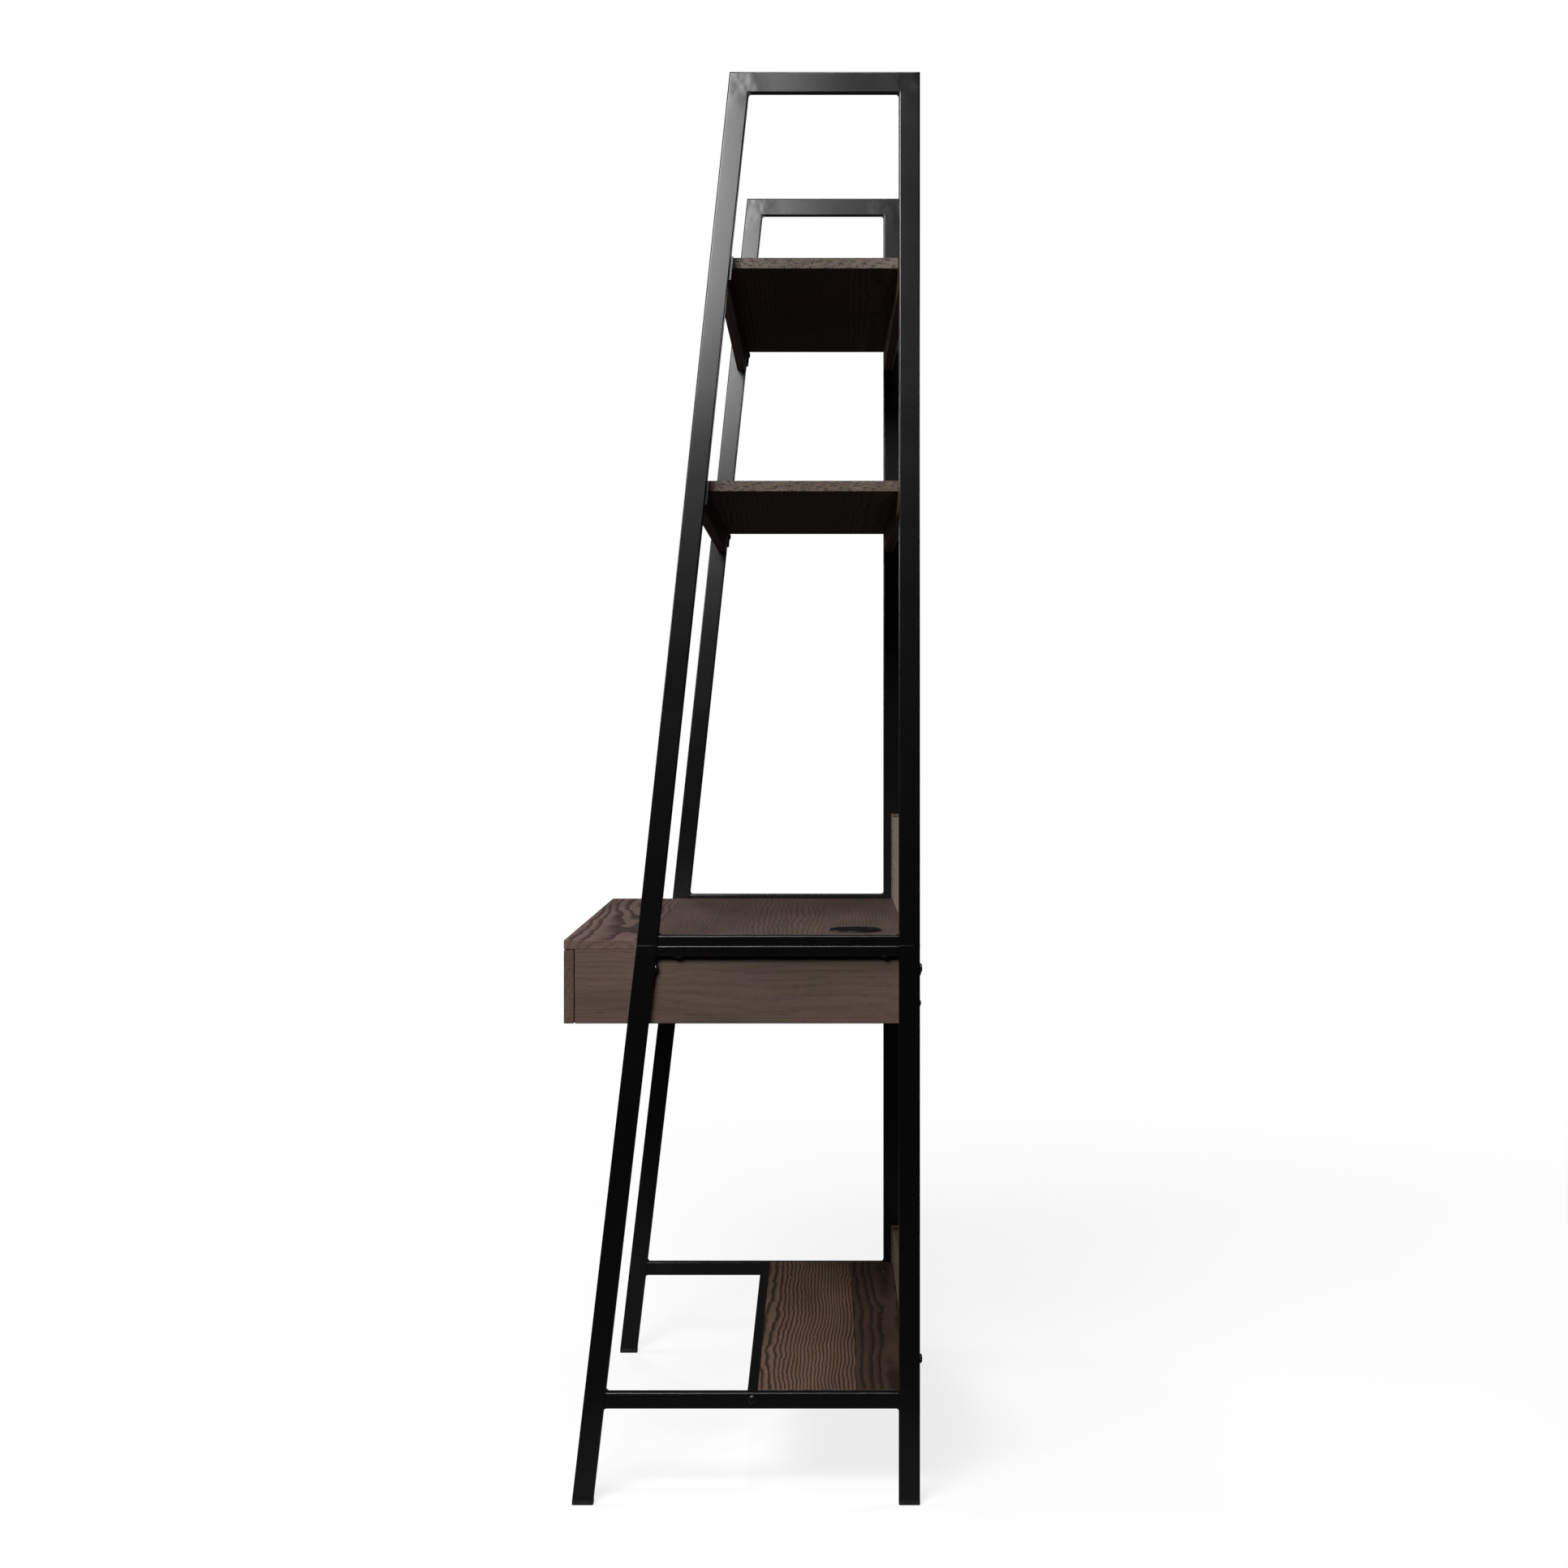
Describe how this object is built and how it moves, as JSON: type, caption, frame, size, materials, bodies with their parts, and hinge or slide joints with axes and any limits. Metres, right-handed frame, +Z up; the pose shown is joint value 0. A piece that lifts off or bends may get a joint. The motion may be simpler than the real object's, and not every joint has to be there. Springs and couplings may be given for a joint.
{
  "type": "ladder desk",
  "caption": "Ladder desk: leaning steel side frames carry a desk with a sliding drawer and cable grommet, open shelves above and a low shelf below.",
  "frame": {"origin": "on the floor, under the middle of the whole desk", "axes": "+X the sitter's right, -Y the front where the drawer opens, +Z up"},
  "size_m": [0.768, 0.459, 1.829],
  "materials": {
    "black_steel": "satin",
    "bare_steel": "satin",
    "black_screws": "satin",
    "zinc_steel": "satin",
    "black_plastic": "matte",
    "stained_oak": "matte",
    "drawer_ply": "satin",
    "beech_dowels": "matte"
  },
  "bodies": {
    "frame": {"right_lower_front_leg": "black_steel", "right_lower_rear_leg": "black_steel", "right_foot_rail": "black_steel", "right_lower_desk_rail": "black_steel", "right_upper_front_leg": "black_steel", "right_upper_rear_leg": "black_steel", "right_upper_desk_rail": "black_steel", "right_top_rail": "black_steel", "left_lower_front_leg": "black_steel", "left_lower_rear_leg": "black_steel", "left_foot_rail": "black_steel", "left_lower_desk_rail": "black_steel", "left_upper_front_leg": "black_steel", "left_upper_rear_leg": "black_steel", "left_upper_desk_rail": "black_steel", "left_top_rail": "black_steel", "front_stretcher": "black_steel", "bottom_shelf_tabs": "black_steel", "shelf_tabs": "black_steel", "leg_joint_sleeves": "bare_steel", "stretcher_end_plugs": "bare_steel", "leg_screws": "black_screws", "desk_rail_bolts": "black_screws", "stretcher_bolts": "black_screws", "desk_box_bolts": "black_screws", "tab_screws": "black_screws", "back_board_screws": "black_screws", "case_slide_screws": "zinc_steel", "right_slide_outer": "zinc_steel", "left_slide_outer": "zinc_steel", "foot_caps": "black_plastic", "grommet_sleeve": "black_plastic", "bottom_shelf_panel": "stained_oak", "bottom_back_board": "stained_oak", "back_board_end_blocks": "stained_oak", "desktop_panel": "stained_oak", "right_desk_side": "stained_oak", "left_desk_side": "stained_oak", "desk_front_rail": "stained_oak", "desk_back_board": "stained_oak", "middle_shelf_panel": "stained_oak", "middle_shelf_front_rail": "stained_oak", "middle_shelf_back_rail": "stained_oak", "top_shelf_panel": "stained_oak", "top_shelf_front_rail": "stained_oak", "top_shelf_back_rail": "stained_oak", "wood_dowels": "beech_dowels"},
    "drawer": {"drawer_face": "stained_oak", "drawer_right_side": "drawer_ply", "drawer_left_side": "drawer_ply", "drawer_back": "drawer_ply", "drawer_bottom": "drawer_ply", "drawer_dowels": "beech_dowels", "drawer_slide_screws": "zinc_steel", "right_slide_inner": "zinc_steel", "left_slide_inner": "zinc_steel"},
    "right_slide_runner": {"right_slide_middle": "zinc_steel"},
    "left_slide_runner": {"left_slide_middle": "zinc_steel"},
    "cable_cap": {"grommet_cap": "black_plastic"}
  },
  "joints": [
    {"name": "drawer_slide", "type": "slide", "parent": "frame", "child": "drawer", "axis": [0, -1, 0], "range_m": [0, 0.28]},
    {"name": "right_slide_extend", "type": "slide", "parent": "frame", "child": "right_slide_runner", "axis": [0, -1, 0], "range_m": [0, 0.14]},
    {"name": "left_slide_extend", "type": "slide", "parent": "frame", "child": "left_slide_runner", "axis": [0, -1, 0], "range_m": [0, 0.14]},
    {"name": "grommet_cap_turn", "type": "hinge", "parent": "frame", "child": "cable_cap", "pos_m": [0.224, 0.1465, 0.72], "axis": [0, 0, 1], "continuous": true}
  ],
  "couplings": [
    {"joint": "right_slide_extend", "follows": "drawer_slide", "ratio": 0.5},
    {"joint": "left_slide_extend", "follows": "drawer_slide", "ratio": 0.5}
  ]
}
